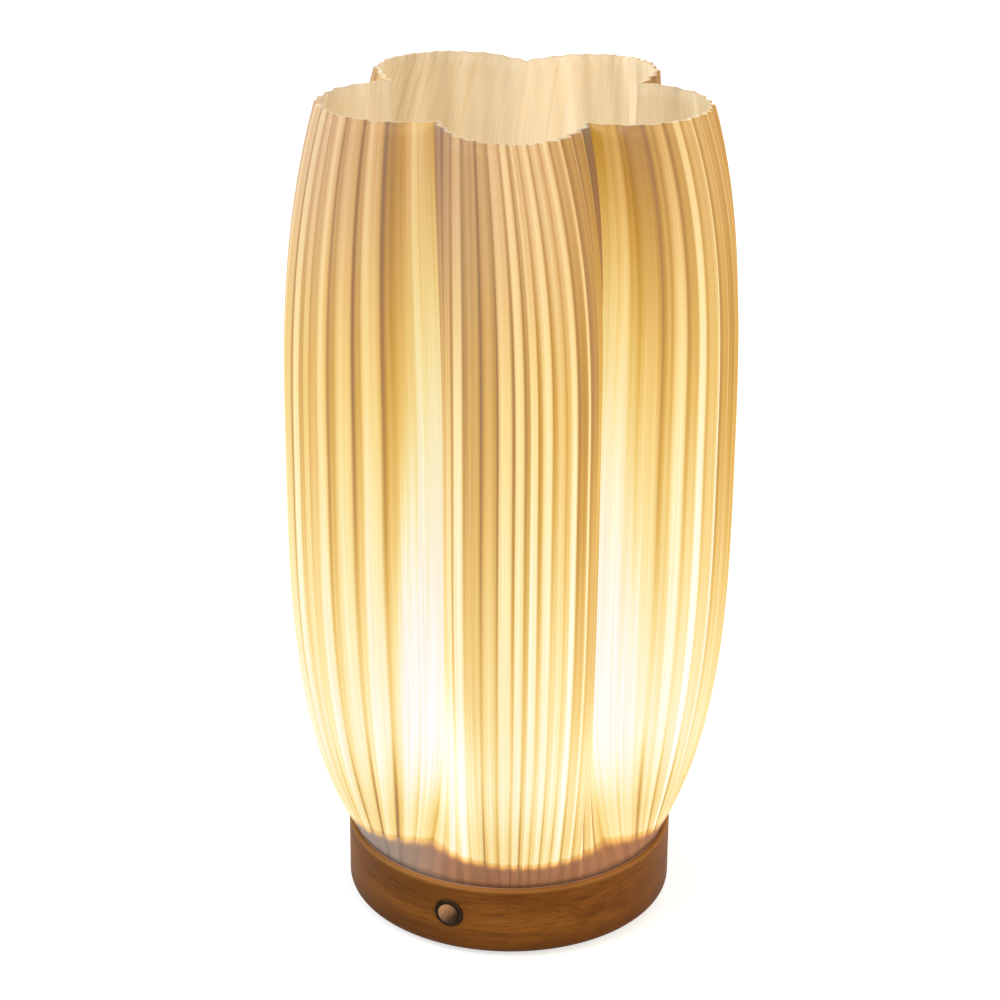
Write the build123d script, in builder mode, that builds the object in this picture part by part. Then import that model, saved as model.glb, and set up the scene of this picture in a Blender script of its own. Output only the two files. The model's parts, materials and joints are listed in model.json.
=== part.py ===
from build123d import *
import os
from math import cos, floor, pi, radians, sin, tan

# A cordless table lamp: a pleated, five-lobed shade stands in the seat of a round wooden base.
# Millimetres. The origin is on the table under the middle of the base, with +Z up.
# The push button is at the front (-Y) and the charging inlet at the back (+Y).

# Wooden base
BASE_RADIUS = 50.0
BASE_HEIGHT = 22.0
BASE_WALL = 9.0
BASE_BOTTOM_ROUND = 2.8
BASE_TOP_ROUND = 0.6
DECK_THICKNESS = 2.5
SEAT_DEPTH = 2.0
SEAT_RIM = 1.4
LEAD_HOLE_RADIUS = 5.0

# Bottom cover, its screws and the rubber foot pad
COVER_THICKNESS = 3.0
COVER_LEDGE = 5.5
COVER_CLEARANCE = 0.3
COVER_SCREWS = 4
COVER_SCREW_INSET = 3.0
COVER_SCREW_LENGTH = 10.0
FOOT_STAND = 1.2
FOOT_RECESS = 0.6
FOOT_INSET = 8.0
FOOT_EDGE_ROUND = 0.5
FOOT_CLEARANCE = 0.1
FOOT_GROOVES = 3
FOOT_GROOVE_PITCH = 9.0
FOOT_GROOVE_WIDTH = 1.6
FOOT_GROOVE_DEPTH = 0.5

# Shade, with heights measured from the top of the wood
SHADE_RISE = 228.6
SHADE_WALL = 1.4
SEAT_CLEARANCE = 0.4
FOOT_RING_STEP = 0.2
BELLY_HEIGHT = 128.0
BELLY_RADIUS = 67.2
RIM_RADIUS = 56.7
CREST_FOOT_POWER = 3.25
CREST_RIM_POWER = 2.9
LOBES = 5
LOBE_DEPTH = 33.0
RIM_LOBE_DEPTH = 17.7
LOBE_FOOT_POWER = 4.0
LOBE_RIM_POWER = 2.1
LOBE_TURN = radians(25.25)
LOBE_FULLNESS = 0.95
LOBE_UNEVENNESS = 0.05
LOBE_UNEVENNESS_TURN = radians(-45)
MOUTH_POWER = 3.0
MOUTH_TURNS = (-1.5, -9.5, -2.5, -9.0, -7.0)
PLEATS = 75
PLEAT_DEPTH = 1.6
PLEAT_VARIATION = 0.35
PLEAT_VARIATION_RATE = 1.9
PLEAT_FADE = 30.0
PLEAT_CROWDING = 0.35
PLEAT_SKEW = 0.2
PLEAT_WANDER = 0.3
PLEAT_WANDER_RATE = 2.7
SHADE_LEVELS = (0, 0.025, 0.06, 0.115, 0.2, 0.33, 0.5, 0.7, 0.86, 0.95, 1)

# Light pan with its grip ring, the round light board and the opal dome
PAN_RISE = 8.0
PAN_TOP_THICKNESS = 2.6
PAN_WALL = 2.4
PAN_CLEARANCE = 0.8
PAN_SCREWS = 3
PAN_SCREW_INSET = 10.0
PAN_SCREW_LENGTH = 8.0
PAN_BOSS_RADIUS = 3.6
GRIP_RADIUS = 0.7
GRIP_CLEARANCE = 0.3
DOME_INSET = 3.4
DOME_WALL = 1.6
DOME_SKIRT = 2.4
DOME_RISE = 12.0
DOME_GROOVE = 1.0
DOME_CLEARANCE = 0.15
BOARD_INSET = 4.0
BOARD_THICKNESS = 1.6
BOARD_HOLE_RADIUS = 3.5
CHIP_LENGTH = 3.5
CHIP_WIDTH = 2.8
CHIP_HEIGHT = 0.8
OUTER_CHIPS = 12
INNER_CHIPS = 6
OUTER_CHIP_INSET = 4.5
INNER_CHIP_INSET = 18.5
BOARD_SCREWS = 3
BOARD_SCREW_INSET = 12.0
BOARD_SCREW_LENGTH = 4.5

# Screws: the small one holds the boards and the pan, the other closes the cover
SCREW_RADIUS = 1.2
SCREW_HEAD_RADIUS = 2.4
SCREW_HEAD_HEIGHT = 1.8
SCREW_CLEARANCE = 0.3
PILOT_CLEARANCE = 0.05
SOCKET_RADIUS = 1.2
SOCKET_DEPTH = 1.0

# Cell on its foam tape
CELL_LENGTH = 50.0
CELL_WIDTH = 34.0
CELL_THICKNESS = 8.0
CELL_GAP = 4.0
CELL_ROUND = 2.0
TAPE_THICKNESS = 0.8
TAPE_MARGIN = 4.0

# Charging board with its inlet
DRIVER_LENGTH = 24.0
DRIVER_WIDTH = 24.0
DRIVER_CORNER = 1.5
DRIVER_CLEARANCE = 0.5
DRIVER_SCREW_INSET = 3.0
POST_RADIUS = 2.5
POST_HEIGHT = 3.0
DRIVER_SCREW_LENGTH = 4.6
COIL_SIZE = 5.2
COIL_HEIGHT = 3.0
REGULATOR_LENGTH = 5.0
REGULATOR_WIDTH = 4.0
REGULATOR_HEIGHT = 1.4
CAPACITOR_LENGTH = 3.2
CAPACITOR_WIDTH = 1.6
INLET_WIDTH = 8.94
INLET_HEIGHT = 3.26
INLET_LENGTH = 7.35
INLET_WALL = 0.3
INLET_MOUTH_DEPTH = 3.0
INLET_OVERHANG = 4.0
INLET_CLEARANCE = 0.3
INLET_BACK = 1.6
TONGUE_WIDTH = 6.7
TONGUE_THICKNESS = 0.7
TONGUE_SETBACK = 1.0
PLUG_RECESS_WIDTH = 13.0
PLUG_RECESS_HEIGHT = 7.6

# Push button, with depths measured inwards from the front of the wood
BUTTON_DROP = 9.5
FLANGE_RADIUS = 4.5
FLANGE_THICKNESS = 0.9
FLANGE_SINK = 0.5
BARREL_RADIUS = 3.95
BARREL_LENGTH = 13.0
BARREL_CLEARANCE = 0.1
BORE_RADIUS = 3.25
BORE_DEPTH = 7.0
GUIDE_THICKNESS = 1.2
CAP_CLEARANCE = 0.15
CAP_PROUD = 0.3
CAP_CROWN = 0.8
CAP_LENGTH = 3.6
CAP_TRAVEL = 1.0
STEM_RADIUS = 1.0
STEM_REACH = 0.4
SPRING_WIRE_RADIUS = 0.2
SPRING_WIRE_SIDES = 8
SPRING_RADIUS = 2.1
SPRING_TURNS = 3.5
SPRING_CLEARANCE = 0.05
SWITCH_LIP = 1.2
SWITCH_WELL_RADIUS = 1.4
PIN_RADIUS = 0.4
PIN_LENGTH = 2.5
PIN_SPACING = 2.6
NUT_ACROSS_FLATS = 9.5
NUT_THICKNESS = 2.0
NUT_SEAT_DEPTH = 8.6
NUT_SEAT_WIDTH = 12.4

# Inner leads, with insets and landings measured from the edges of the boards and the cell
LEAD_RADIUS = 0.6
LEAD_SIDES = 8
LEAD_SPACING = 2.6
LEAD_LANDING = 8.0
LEAD_INSET = 4.7
LEAD_LIFT = 1.0
LED_PAD_INSET = 3.0
LED_LOOP_RISE = 4.0
TAB_INSET = 5.2
TAB_DROP = 3.0
BATTERY_LANDING = 9.4
BATTERY_LEAD_INSET = 1.6
BATTERY_LEAD_RISE = 2.5

# Levels above the table
base_bottom = FOOT_STAND
base_top = base_bottom + BASE_HEIGHT
seat_floor = base_top - SEAT_DEPTH
ceiling = seat_floor - DECK_THICKNESS
cover_top = base_bottom + COVER_THICKNESS
pan_top = base_top + PAN_RISE
board_top = pan_top + BOARD_THICKNESS
driver_bottom = cover_top + POST_HEIGHT
driver_top = driver_bottom + BOARD_THICKNESS
cell_bottom = cover_top + TAPE_THICKNESS
cell_top = cell_bottom + CELL_THICKNESS
lead_level = (cell_top + ceiling) / 2
button_level = base_top - BUTTON_DROP
inlet_level = driver_top + INLET_HEIGHT / 2

# Radii and places that follow from the sizes above
seat_radius = BASE_RADIUS - SEAT_RIM
foot_ring_radius = seat_radius - SEAT_CLEARANCE
shade_start_radius = foot_ring_radius - FOOT_RING_STEP
foot_ring_bore = shade_start_radius - SHADE_WALL - FOOT_RING_STEP
cavity_radius = BASE_RADIUS - BASE_WALL
rebate_radius = cavity_radius + COVER_LEDGE
cover_radius = rebate_radius - COVER_CLEARANCE
cover_screw_circle = cover_radius - COVER_SCREW_INSET
foot_radius = cover_radius - FOOT_INSET
inlet_mouth = BASE_RADIUS - INLET_MOUTH_DEPTH
driver_back = inlet_mouth - INLET_OVERHANG
driver_middle = driver_back - DRIVER_LENGTH / 2
driver_front = driver_back - DRIVER_LENGTH
cell_back = driver_front - CELL_GAP
cell_middle = cell_back - CELL_WIDTH / 2
driver_screw_x = DRIVER_WIDTH - 2 * DRIVER_SCREW_INSET
driver_screw_y = DRIVER_LENGTH - 2 * DRIVER_SCREW_INSET
screw_hole_radius = SCREW_RADIUS + SCREW_CLEARANCE
pilot_radius = SCREW_RADIUS + PILOT_CLEARANCE


# Shape of the shade
def bulge(height, foot, belly, rim, foot_power, rim_power):
    """A value that runs from foot to belly and on to rim as the height grows."""
    if height < BELLY_HEIGHT:
        return belly - (belly - foot) * (1 - height / BELLY_HEIGHT) ** foot_power
    share = (height - BELLY_HEIGHT) / (SHADE_RISE - BELLY_HEIGHT)
    return belly - (belly - rim) * share**rim_power


def crest_radius(height):
    return bulge(
        height, shade_start_radius, BELLY_RADIUS, RIM_RADIUS, CREST_FOOT_POWER, CREST_RIM_POWER
    )


def notch_radius(height):
    depth = bulge(height, 0, LOBE_DEPTH, RIM_LOBE_DEPTH, LOBE_FOOT_POWER, LOBE_RIM_POWER)
    return crest_radius(height) - depth


def mouth_turn(angle):
    """How far the wall turns by the rim: a few degrees of its own at each notch, and smooth between."""
    place = (angle - LOBE_TURN) * LOBES / (2 * pi) + 0.5
    notch = floor(place)
    share = place - notch
    first = MOUTH_TURNS[notch % LOBES % len(MOUTH_TURNS)]
    second = MOUTH_TURNS[(notch + 1) % LOBES % len(MOUTH_TURNS)]
    return radians(first + (second - first) * share * share * (3 - 2 * share))


def lobe_point(angle, height):
    """The lobed wall without its pleats, at an angle from the front towards +X."""
    mouth = max(0, (height - BELLY_HEIGHT) / (SHADE_RISE - BELLY_HEIGHT)) ** MOUTH_POWER
    unevenness = LOBE_UNEVENNESS * (1 - mouth)
    fullness = abs(cos(LOBES / 2 * (angle - LOBE_TURN))) ** LOBE_FULLNESS
    fullness = fullness * (1 + unevenness * cos(angle - LOBE_UNEVENNESS_TURN))
    notch = notch_radius(height)
    radius = notch + (crest_radius(height) - notch) * fullness
    turned = angle + mouth * mouth_turn(angle)
    return Vector(radius * sin(turned), -radius * cos(turned))


def lobe_normal(angle, height):
    step = radians(0.1)
    along = lobe_point(angle + step, height) - lobe_point(angle - step, height)
    return Vector(along.Y, -along.X).normalized()


def fold_angle(fold):
    """Folds crowd on the crests, spread in the notches and wander a little between the notches."""
    half_pleat = pi / PLEATS
    looseness = abs(cos(LOBES / 2 * half_pleat * fold))
    wander = PLEAT_SKEW * (fold % 2) + PLEAT_WANDER * sin(PLEAT_WANDER_RATE * fold)
    even = half_pleat * (fold + looseness * wander)
    return LOBE_TURN + even - PLEAT_CROWDING * sin(LOBES * even) / LOBES


def pleated_outline(height):
    """Ridges and valleys by turns, which fade out towards the round foot."""
    fade = 1 - max(0, 1 - height / PLEAT_FADE) ** 2
    outline = []
    for fold in range(2 * PLEATS):
        angle = fold_angle(fold)
        side = 0.5 - fold % 2
        variation = PLEAT_VARIATION * (sin(PLEAT_VARIATION_RATE * fold) - 1)
        depth = PLEAT_DEPTH * fade * (1 + variation)
        outline.append(lobe_point(angle, height) + lobe_normal(angle, height) * (side * depth))
    return outline


def inset_outline(outline, wall):
    """The same outline one wall thickness further in, corner by corner."""
    inset = []
    for index, corner in enumerate(outline):
        before = (corner - outline[index - 1]).normalized()
        after = (outline[(index + 1) % len(outline)] - corner).normalized()
        inward = Vector(-before.Y, before.X) + Vector(-after.Y, after.X)
        inset.append(corner + inward * (wall / (1 + before.dot(after))))
    return inset


def shade_loft(wall):
    """A smooth loft through the pleated outlines, from the top of the wood to the rim."""
    with BuildPart() as body:
        for level in SHADE_LEVELS:
            height = level * SHADE_RISE
            outline = pleated_outline(height)
            if wall:
                outline = inset_outline(outline, wall)
            with BuildSketch(Plane.XY.offset(base_top + height)):
                with BuildLine():
                    Polyline(*outline, close=True)
                make_face()
        loft()
    return body.part.faces().sort_by(Axis.Z)


# The two lofts share a floor ring and a rim, so their sides close into one thin wall.
outer_faces = shade_loft(0)
inner_faces = shade_loft(SHADE_WALL)
floor_ring = Face(outer_faces[0].outer_wire(), [inner_faces[0].outer_wire()])
rim_ring = Face(outer_faces[-1].outer_wire(), [inner_faces[-1].outer_wire()])
pleated_wall = Solid(Shell([*outer_faces[1:-1], *inner_faces[1:-1], floor_ring, rim_ring]))

with BuildPart() as shade:
    add(pleated_wall)
    with BuildSketch(Plane.XY.offset(seat_floor)):
        Circle(foot_ring_radius)
        Circle(foot_ring_bore, mode=Mode.SUBTRACT)
    extrude(amount=SEAT_DEPTH)


# Screws stand with the underside of the head at the origin and the shank towards -Z.
def pan_head_screw(length):
    with BuildPart() as screw:
        with BuildSketch(Plane.XY):
            Circle(SCREW_HEAD_RADIUS)
        extrude(amount=SCREW_HEAD_HEIGHT)
        chamfer(screw.edges().group_by(Axis.Z)[-1], SCREW_HEAD_HEIGHT / 3)
        with BuildSketch(Plane.XY.offset(SCREW_HEAD_HEIGHT)):
            RegularPolygon(SOCKET_RADIUS, 6)
        extrude(amount=-SOCKET_DEPTH, mode=Mode.SUBTRACT)
        with BuildSketch(Plane.XY):
            Circle(SCREW_RADIUS)
        extrude(amount=-length)
    return screw.part


def countersunk_screw(length):
    with BuildPart() as screw:
        with BuildSketch(Plane.XZ):
            with BuildLine():
                Polyline(
                    (0, 0),
                    (SCREW_HEAD_RADIUS, 0),
                    (SCREW_RADIUS, SCREW_RADIUS - SCREW_HEAD_RADIUS),
                    (SCREW_RADIUS, -length),
                    (0, -length),
                    close=True,
                )
            make_face()
        revolve(axis=Axis.Z)
        with BuildSketch(Plane.XY):
            RegularPolygon(SOCKET_RADIUS, 6)
        extrude(amount=-SOCKET_DEPTH, mode=Mode.SUBTRACT)
    return screw.part


# Planes that pieces are placed by
underside = Plane(origin=(0, 0, base_bottom), x_dir=(1, 0, 0), z_dir=(0, 0, -1))
ceiling_plane = Plane(origin=(0, 0, ceiling), x_dir=(1, 0, 0), z_dir=(0, 0, -1))
button_plane = Plane(origin=(0, -BASE_RADIUS, button_level), x_dir=(1, 0, 0), z_dir=(0, 1, 0))
button_section = Plane(origin=(0, -BASE_RADIUS, button_level), x_dir=(1, 0, 0), z_dir=(0, 0, 1))
button_axis = Axis((0, -BASE_RADIUS, button_level), (0, 1, 0))
inlet_plane = Plane(origin=(0, inlet_mouth, inlet_level), x_dir=(1, 0, 0), z_dir=(0, -1, 0))

# Light pan: a shallow dish turned over, which tapers inside the shade's notches
pan_foot_radius = foot_ring_bore - PAN_CLEARANCE
pan_top_radius = notch_radius(PAN_RISE) - SHADE_WALL - PLEAT_DEPTH - PAN_CLEARANCE
pan_screw_circle = pan_top_radius - PAN_SCREW_INSET
pan_slope = (pan_foot_radius - pan_top_radius) / PAN_RISE
dome_radius = pan_top_radius - DOME_INSET
board_radius = dome_radius - DOME_WALL - BOARD_INSET
board_screw_circle = board_radius - BOARD_SCREW_INSET
grip_level = seat_floor + SEAT_DEPTH / 2
grip_circle = foot_ring_bore - GRIP_CLEARANCE - GRIP_RADIUS

with BuildPart() as light_pan:
    with BuildSketch(Plane.XZ):
        with BuildLine():
            Polyline(
                (0, pan_top),
                (pan_top_radius, pan_top),
                (pan_foot_radius, base_top),
                (pan_foot_radius, seat_floor),
                (pan_foot_radius - PAN_WALL, seat_floor),
                (pan_foot_radius - PAN_WALL, base_top),
                (pan_top_radius - PAN_WALL + pan_slope * PAN_TOP_THICKNESS, pan_top - PAN_TOP_THICKNESS),
                (0, pan_top - PAN_TOP_THICKNESS),
                close=True,
            )
        make_face()
    revolve(axis=Axis.Z)
    with BuildSketch(Plane.XY.offset(seat_floor)):
        with PolarLocations(pan_screw_circle, PAN_SCREWS, start_angle=90):
            Circle(PAN_BOSS_RADIUS)
    extrude(amount=pan_top - PAN_TOP_THICKNESS - seat_floor)
    with BuildSketch(Plane.XY.offset(seat_floor)):
        with PolarLocations(pan_screw_circle, PAN_SCREWS, start_angle=90):
            Circle(pilot_radius)
    extrude(amount=PAN_SCREW_LENGTH - DECK_THICKNESS, mode=Mode.SUBTRACT)
    with BuildSketch(Plane.XY.offset(pan_top)):
        Circle(BOARD_HOLE_RADIUS)
        with PolarLocations(board_screw_circle, BOARD_SCREWS, start_angle=30):
            Circle(pilot_radius)
    extrude(amount=-PAN_TOP_THICKNESS, mode=Mode.SUBTRACT)
    with BuildSketch(Plane.XY.offset(pan_top)):
        Circle(dome_radius + DOME_CLEARANCE)
        Circle(dome_radius - DOME_WALL - DOME_CLEARANCE, mode=Mode.SUBTRACT)
    extrude(amount=-DOME_GROOVE, mode=Mode.SUBTRACT)
    with BuildSketch(Plane.XZ):
        with Locations((grip_circle, grip_level)):
            Circle(GRIP_RADIUS)
    revolve(axis=Axis.Z, mode=Mode.SUBTRACT)

with BuildPart() as grip_ring:
    with BuildSketch(Plane.XZ):
        with Locations((grip_circle, grip_level)):
            Circle(GRIP_RADIUS)
    revolve(axis=Axis.Z)

with BuildPart() as diffuser:
    dome_foot = pan_top - DOME_GROOVE
    dome_shoulder = pan_top + DOME_SKIRT
    dome_top = pan_top + DOME_RISE
    dome_inside = dome_radius - DOME_WALL
    with BuildSketch(Plane.XZ):
        with BuildLine():
            Polyline(
                (dome_inside, dome_shoulder - DOME_WALL / 2),
                (dome_inside, dome_foot),
                (dome_radius, dome_foot),
                (dome_radius, dome_shoulder),
            )
            TangentArc((0, dome_top), (dome_radius, dome_shoulder), tangent=(1, 0))
            Line((0, dome_top), (0, dome_top - DOME_WALL))
            TangentArc(
                (0, dome_top - DOME_WALL),
                (dome_inside, dome_shoulder - DOME_WALL / 2),
                tangent=(1, 0),
            )
        make_face()
    revolve(axis=Axis.Z)

with BuildPart() as led_board:
    with BuildSketch(Plane.XY.offset(pan_top)):
        Circle(board_radius)
        Circle(BOARD_HOLE_RADIUS, mode=Mode.SUBTRACT)
        with PolarLocations(board_screw_circle, BOARD_SCREWS, start_angle=30):
            Circle(screw_hole_radius, mode=Mode.SUBTRACT)
    extrude(amount=BOARD_THICKNESS)

with BuildPart() as led_chips:
    with BuildSketch(Plane.XY.offset(board_top)):
        with PolarLocations(board_radius - OUTER_CHIP_INSET, OUTER_CHIPS):
            Rectangle(CHIP_WIDTH, CHIP_LENGTH)
        with PolarLocations(board_radius - INNER_CHIP_INSET, INNER_CHIPS):
            Rectangle(CHIP_WIDTH, CHIP_LENGTH)
    extrude(amount=CHIP_HEIGHT)

board_screw = pan_head_screw(BOARD_SCREW_LENGTH)
with BuildPart() as led_screws:
    with Locations(Plane.XY.offset(board_top)):
        with PolarLocations(board_screw_circle, BOARD_SCREWS, start_angle=30):
            add(board_screw)

pan_screw = pan_head_screw(PAN_SCREW_LENGTH)
with BuildPart() as pan_screws:
    with Locations(ceiling_plane):
        with PolarLocations(pan_screw_circle, PAN_SCREWS, start_angle=-90):
            add(pan_screw)

# Turned base: seat above, cavity and cover rebate below, button hole in front, inlet behind
with BuildPart() as base_body:
    with BuildSketch(Plane.XY.offset(base_bottom)):
        Circle(BASE_RADIUS)
    extrude(amount=BASE_HEIGHT)
    fillet(base_body.edges().group_by(Axis.Z)[0], BASE_BOTTOM_ROUND)
    fillet(base_body.edges().group_by(Axis.Z)[-1], BASE_TOP_ROUND)
    with BuildSketch(Plane.XY.offset(seat_floor)):
        Circle(seat_radius)
    extrude(amount=SEAT_DEPTH, mode=Mode.SUBTRACT)
    with BuildSketch(Plane.XY.offset(base_bottom)):
        Circle(rebate_radius)
    extrude(amount=COVER_THICKNESS, mode=Mode.SUBTRACT)
    with BuildSketch(Plane.XY.offset(cover_top)):
        Circle(cavity_radius)
        with Locations((0, driver_back + DRIVER_CLEARANCE)):
            Rectangle(
                DRIVER_WIDTH + 2 * DRIVER_CLEARANCE,
                DRIVER_LENGTH,
                align=(Align.CENTER, Align.MAX),
            )
        with Locations((0, NUT_SEAT_DEPTH - BASE_RADIUS)):
            Rectangle(NUT_SEAT_WIDTH, cavity_radius / 2, align=(Align.CENTER, Align.MIN))
    extrude(amount=ceiling - cover_top, mode=Mode.SUBTRACT)
    with BuildSketch(Plane.XY.offset(ceiling)):
        Circle(LEAD_HOLE_RADIUS)
        with PolarLocations(pan_screw_circle, PAN_SCREWS, start_angle=90):
            Circle(screw_hole_radius)
    extrude(amount=DECK_THICKNESS, mode=Mode.SUBTRACT)
    with BuildSketch(Plane.XY.offset(cover_top)):
        with PolarLocations(cover_screw_circle, COVER_SCREWS, start_angle=45):
            Circle(pilot_radius)
    extrude(amount=COVER_SCREW_LENGTH - COVER_THICKNESS, mode=Mode.SUBTRACT)
    with BuildSketch(button_plane):
        Circle(BARREL_RADIUS + BARREL_CLEARANCE)
    extrude(amount=BASE_WALL + BARREL_CLEARANCE, mode=Mode.SUBTRACT)
    with BuildSketch(button_plane.offset(FLANGE_SINK)):
        Circle(FLANGE_RADIUS + BARREL_CLEARANCE)
    extrude(amount=-2 * FLANGE_SINK, mode=Mode.SUBTRACT)
    with BuildSketch(inlet_plane.offset(-INLET_MOUTH_DEPTH)):
        SlotOverall(INLET_WIDTH + 2 * INLET_CLEARANCE, INLET_HEIGHT + 2 * INLET_CLEARANCE)
    extrude(amount=BASE_WALL, mode=Mode.SUBTRACT)
    with BuildSketch(inlet_plane):
        SlotOverall(PLUG_RECESS_WIDTH, PLUG_RECESS_HEIGHT)
    extrude(amount=-INLET_MOUTH_DEPTH, mode=Mode.SUBTRACT)

# Bottom cover with posts for the charging board and a shallow seat for the foot pad
with BuildPart() as bottom_cover:
    with BuildSketch(Plane.XY.offset(base_bottom)):
        Circle(cover_radius)
    extrude(amount=COVER_THICKNESS)
    with BuildSketch(Plane.XY.offset(cover_top)):
        with Locations((0, driver_middle)):
            with GridLocations(driver_screw_x, driver_screw_y, 2, 2):
                Circle(POST_RADIUS)
    extrude(amount=POST_HEIGHT)
    with BuildSketch(Plane.XY.offset(driver_bottom)):
        with Locations((0, driver_middle)):
            with GridLocations(driver_screw_x, driver_screw_y, 2, 2):
                Circle(pilot_radius)
    extrude(amount=BOARD_THICKNESS - DRIVER_SCREW_LENGTH, mode=Mode.SUBTRACT)
    with Locations(underside):
        with PolarLocations(cover_screw_circle, COVER_SCREWS, start_angle=45):
            CounterSinkHole(
                screw_hole_radius,
                SCREW_HEAD_RADIUS + PILOT_CLEARANCE,
                COVER_THICKNESS,
                counter_sink_angle=90,
            )
    with BuildSketch(Plane.XY.offset(base_bottom)):
        Circle(foot_radius + FOOT_CLEARANCE)
    extrude(amount=FOOT_RECESS, mode=Mode.SUBTRACT)

cover_screw = countersunk_screw(COVER_SCREW_LENGTH)
with BuildPart() as cover_screws:
    with Locations(underside):
        with PolarLocations(cover_screw_circle, COVER_SCREWS, start_angle=45):
            add(cover_screw)

# Rubber foot pad with rings of grip grooves
with BuildPart() as foot_pad:
    with BuildSketch(Plane.XY):
        Circle(foot_radius)
    extrude(amount=FOOT_STAND + FOOT_RECESS)
    fillet(foot_pad.edges().group_by(Axis.Z)[0], FOOT_EDGE_ROUND)
    with BuildSketch(Plane.XY):
        for groove in range(FOOT_GROOVES):
            groove_radius = foot_radius - (groove + 1) * FOOT_GROOVE_PITCH
            Circle(groove_radius)
            Circle(groove_radius - FOOT_GROOVE_WIDTH, mode=Mode.SUBTRACT)
    extrude(amount=FOOT_GROOVE_DEPTH, mode=Mode.SUBTRACT)

# Cell on its tape
with BuildPart() as battery_tape:
    with BuildSketch(Plane.XY.offset(cover_top)):
        with Locations((0, cell_middle)):
            Rectangle(CELL_LENGTH - 2 * TAPE_MARGIN, CELL_WIDTH - 2 * TAPE_MARGIN)
    extrude(amount=TAPE_THICKNESS)

with BuildPart() as battery_cell:
    with BuildSketch(Plane.XY.offset(cell_bottom)):
        with Locations((0, cell_middle)):
            RectangleRounded(CELL_LENGTH, CELL_WIDTH, CELL_ROUND)
    extrude(amount=CELL_THICKNESS)
    fillet(battery_cell.edges().group_by(Axis.Z)[-1], CELL_ROUND / 2)
    fillet(battery_cell.edges().group_by(Axis.Z)[0], CELL_ROUND / 2)

# Charging board and the parts on it
with BuildPart() as driver_board:
    with BuildSketch(Plane.XY.offset(driver_bottom)):
        with Locations((0, driver_middle)):
            RectangleRounded(DRIVER_WIDTH, DRIVER_LENGTH, DRIVER_CORNER)
            with GridLocations(driver_screw_x, driver_screw_y, 2, 2):
                Circle(screw_hole_radius, mode=Mode.SUBTRACT)
    extrude(amount=BOARD_THICKNESS)

driver_screw = pan_head_screw(DRIVER_SCREW_LENGTH)
with BuildPart() as driver_screws:
    with Locations(Plane.XY.offset(driver_top)):
        with Locations((0, driver_middle)):
            with GridLocations(driver_screw_x, driver_screw_y, 2, 2):
                add(driver_screw)

coil_place = (-DRIVER_WIDTH / 4, driver_middle + DRIVER_LENGTH / 12)
regulator_place = (DRIVER_WIDTH / 5, driver_middle + DRIVER_LENGTH / 12)
with BuildPart() as driver_chips:
    with BuildSketch(Plane.XY.offset(driver_top)):
        with Locations(coil_place):
            RectangleRounded(COIL_SIZE, COIL_SIZE, DRIVER_CORNER / 2)
    extrude(amount=COIL_HEIGHT)
    with BuildSketch(Plane.XY.offset(driver_top)):
        with Locations(regulator_place):
            Rectangle(REGULATOR_LENGTH, REGULATOR_WIDTH)
    extrude(amount=REGULATOR_HEIGHT)
    with BuildSketch(Plane.XY.offset(driver_top)):
        with Locations((0, driver_middle - DRIVER_LENGTH / 3)):
            with GridLocations(2 * CAPACITOR_WIDTH, 0, 3, 1):
                Rectangle(CAPACITOR_WIDTH, CAPACITOR_LENGTH)
    extrude(amount=CAPACITOR_WIDTH)

with BuildPart() as usb_shell:
    with BuildSketch(inlet_plane):
        SlotOverall(INLET_WIDTH, INLET_HEIGHT)
        SlotOverall(INLET_WIDTH - 2 * INLET_WALL, INLET_HEIGHT - 2 * INLET_WALL, mode=Mode.SUBTRACT)
    extrude(amount=INLET_LENGTH)

with BuildPart() as usb_tongue:
    with BuildSketch(inlet_plane.offset(INLET_LENGTH - INLET_BACK)):
        SlotOverall(INLET_WIDTH - 2 * INLET_WALL, INLET_HEIGHT - 2 * INLET_WALL)
    extrude(amount=INLET_BACK)
    with BuildSketch(inlet_plane.offset(TONGUE_SETBACK)):
        Rectangle(TONGUE_WIDTH, TONGUE_THICKNESS)
    extrude(amount=INLET_LENGTH - INLET_BACK - TONGUE_SETBACK)

# Push button: sections are drawn with the radius along x and the depth along y
flange_front = FLANGE_SINK - FLANGE_THICKNESS
guide_back = BORE_DEPTH + GUIDE_THICKNESS
barrel_back = FLANGE_SINK + BARREL_LENGTH
stem_hole_radius = STEM_RADIUS + CAP_CLEARANCE
cap_radius = BORE_RADIUS - CAP_CLEARANCE
cap_front = flange_front - CAP_PROUD
cap_back = cap_front + CAP_LENGTH
stem_end = guide_back + STEM_REACH
switch_radius = BORE_RADIUS - PILOT_CLEARANCE

with BuildPart() as button_bezel:
    with BuildSketch(button_section):
        with BuildLine():
            Polyline(
                (BORE_RADIUS, flange_front),
                (FLANGE_RADIUS - FLANGE_THICKNESS / 3, flange_front),
                (FLANGE_RADIUS, flange_front + FLANGE_THICKNESS / 3),
                (FLANGE_RADIUS, FLANGE_SINK),
                (BARREL_RADIUS, FLANGE_SINK),
                (BARREL_RADIUS, barrel_back),
                (BORE_RADIUS, barrel_back),
                (BORE_RADIUS, guide_back),
                (stem_hole_radius, guide_back),
                (stem_hole_radius, BORE_DEPTH),
                (BORE_RADIUS, BORE_DEPTH),
                close=True,
            )
        make_face()
    revolve(axis=button_axis)

with BuildPart() as button_nut:
    with BuildSketch(button_plane.offset(NUT_SEAT_DEPTH)):
        RegularPolygon(NUT_ACROSS_FLATS / 2, 6, major_radius=False)
        Circle(BARREL_RADIUS + PILOT_CLEARANCE, mode=Mode.SUBTRACT)
    extrude(amount=NUT_THICKNESS)

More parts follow.
